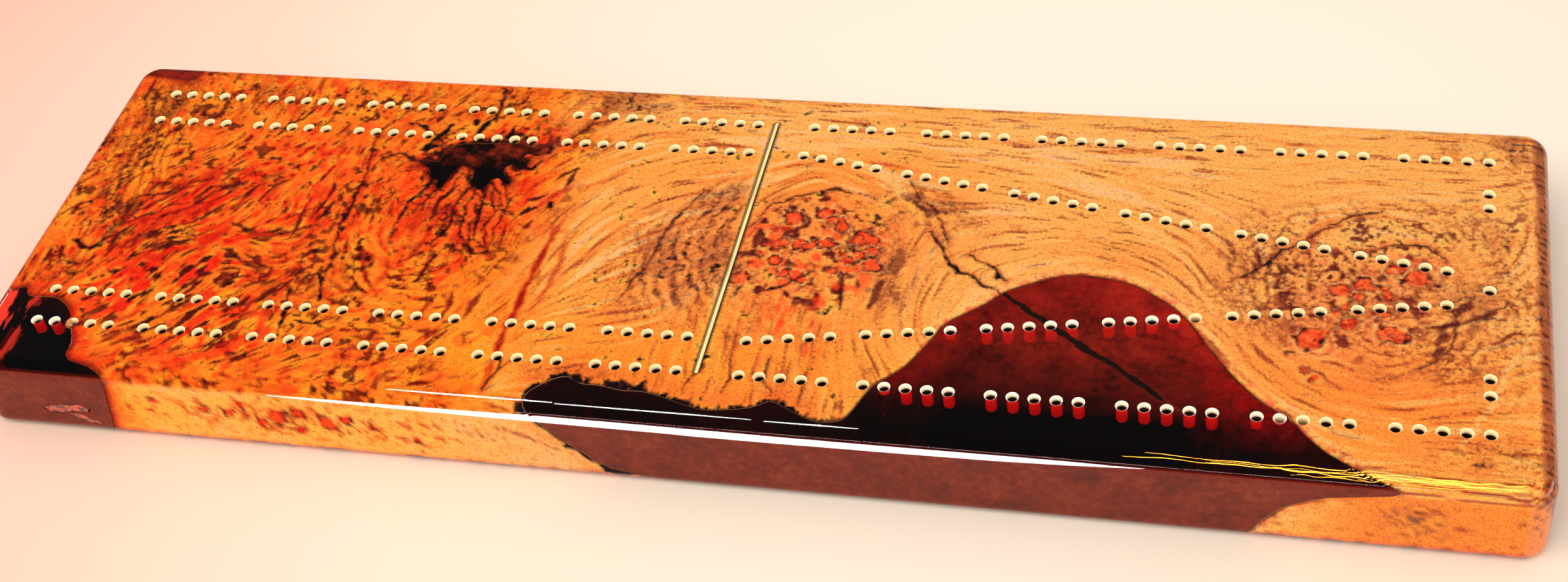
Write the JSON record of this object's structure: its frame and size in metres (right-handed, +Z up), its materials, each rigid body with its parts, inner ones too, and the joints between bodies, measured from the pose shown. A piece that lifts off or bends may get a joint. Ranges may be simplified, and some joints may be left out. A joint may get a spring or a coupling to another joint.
{
  "type": "cribbage board",
  "caption": "Wood-and-resin cribbage board: glossy burl slab with ruby resin pours, drilled peg tracks, brass skunk line and a peg store under a sliding lid.",
  "frame": {"origin": "centre of the board's rectangular footprint, on the underside that rests on the table", "axes": "+X along the board's length towards the finish hole, +Y across the board towards the far long edge, +Z up out of the playing face"},
  "size_m": [0.485, 0.147, 0.0286],
  "materials": {
    "burl_wood": "clear gloss coat",
    "ruby_resin": "polished translucent resin",
    "black_resin": "polished",
    "burl_chip": "clear gloss coat",
    "brass_inlay": "brushed, coated",
    "brass_plate": "brushed",
    "peg_brass": "polished",
    "peg_steel": "satin"
  },
  "bodies": {
    "board": {"burl_slab": "burl_wood", "resin_river": "ruby_resin", "resin_corner_front": "ruby_resin", "resin_corner_back": "ruby_resin", "knot_fill": "black_resin", "burl_chip_upper": "burl_chip", "burl_chip_lower": "burl_chip", "skunk_line": "brass_inlay"},
    "lid": {"store_lid": "brass_plate"},
    "peg_a": {"peg_brass_1": "peg_brass"},
    "peg_b": {"peg_brass_2": "peg_brass"},
    "peg_c": {"peg_steel_1": "peg_steel"},
    "peg_d": {"peg_steel_2": "peg_steel"}
  },
  "joints": [
    {"name": "lid_slide", "type": "slide", "parent": "board", "child": "lid", "axis": [1, 0, 0], "range_m": [0, 0.08]},
    {"name": "peg_a_float", "type": "slide", "parent": "board", "child": "peg_a", "axis": [1, 0, 0], "range_m": [-0.0025, 0.0025]},
    {"name": "peg_b_float", "type": "slide", "parent": "board", "child": "peg_b", "axis": [1, 0, 0], "range_m": [-0.0025, 0.0025]},
    {"name": "peg_c_float", "type": "slide", "parent": "board", "child": "peg_c", "axis": [1, 0, 0], "range_m": [-0.0025, 0.0025]},
    {"name": "peg_d_float", "type": "slide", "parent": "board", "child": "peg_d", "axis": [1, 0, 0], "range_m": [-0.0025, 0.0025]}
  ]
}
